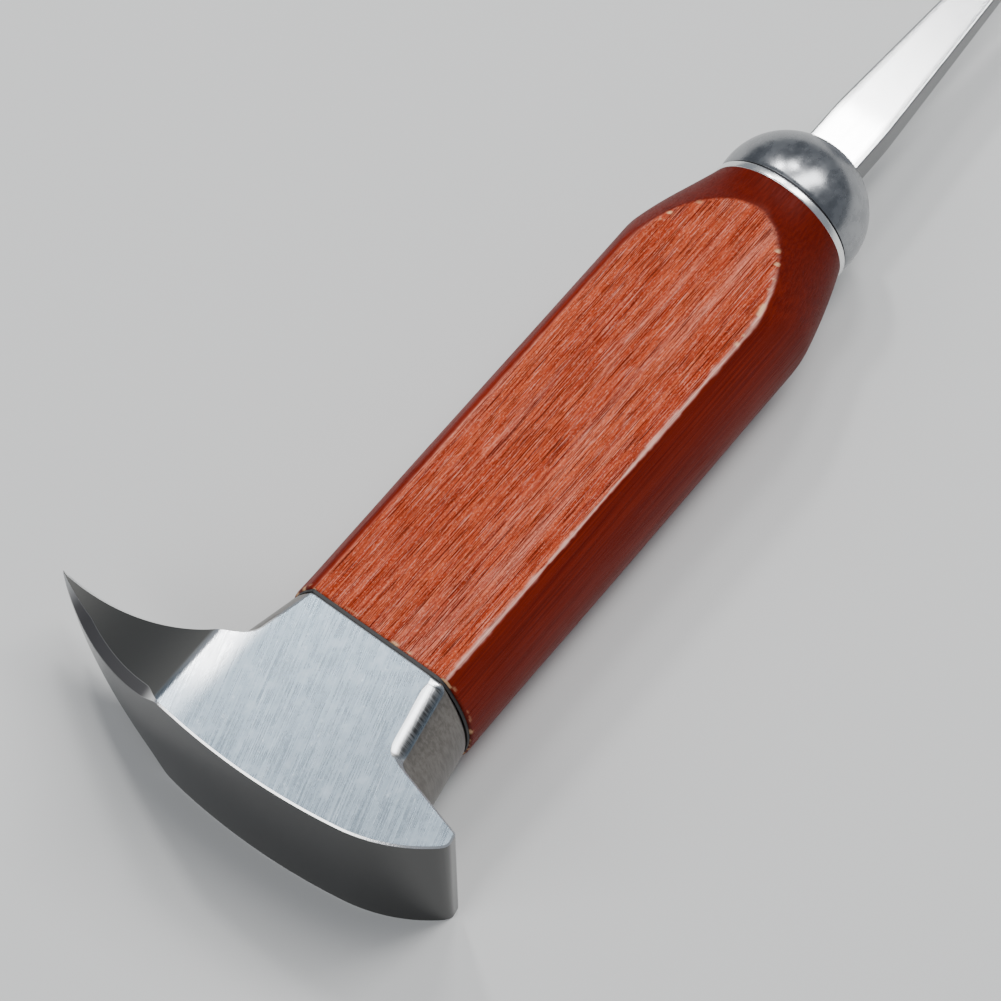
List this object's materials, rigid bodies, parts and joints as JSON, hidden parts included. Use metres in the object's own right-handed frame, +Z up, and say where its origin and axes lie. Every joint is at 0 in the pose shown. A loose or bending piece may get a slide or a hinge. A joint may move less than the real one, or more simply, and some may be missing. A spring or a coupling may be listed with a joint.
{
  "type": "hive tool",
  "caption": "Hand tool with a crescent steel head of claw and scraper wings, a flat-sided wooden grip, a domed ferrule and a tapered pick.",
  "frame": {"origin": "on the flat that the tool rests on, below the middle of the grip", "axes": "+X from the head to the tip of the pick, +Y to the claw, +Z up out of the resting flat"},
  "size_m": [0.1914, 0.0697, 0.024],
  "materials": {
    "head_steel": "brushed flats with polished edges and front",
    "black_fibre": "matt black",
    "stained_wood": "red-brown stain under thin varnish, worn at the edges",
    "resin": "cured epoxy",
    "ferrule_steel": "satin polished",
    "pick_steel": "fine ground"
  },
  "bodies": {
    "root": {"head": "head_steel", "neck_spacer": "black_fibre", "handle": "stained_wood", "tang_resin": "resin", "ferrule": "ferrule_steel", "pick": "pick_steel"}
  },
  "joints": []
}
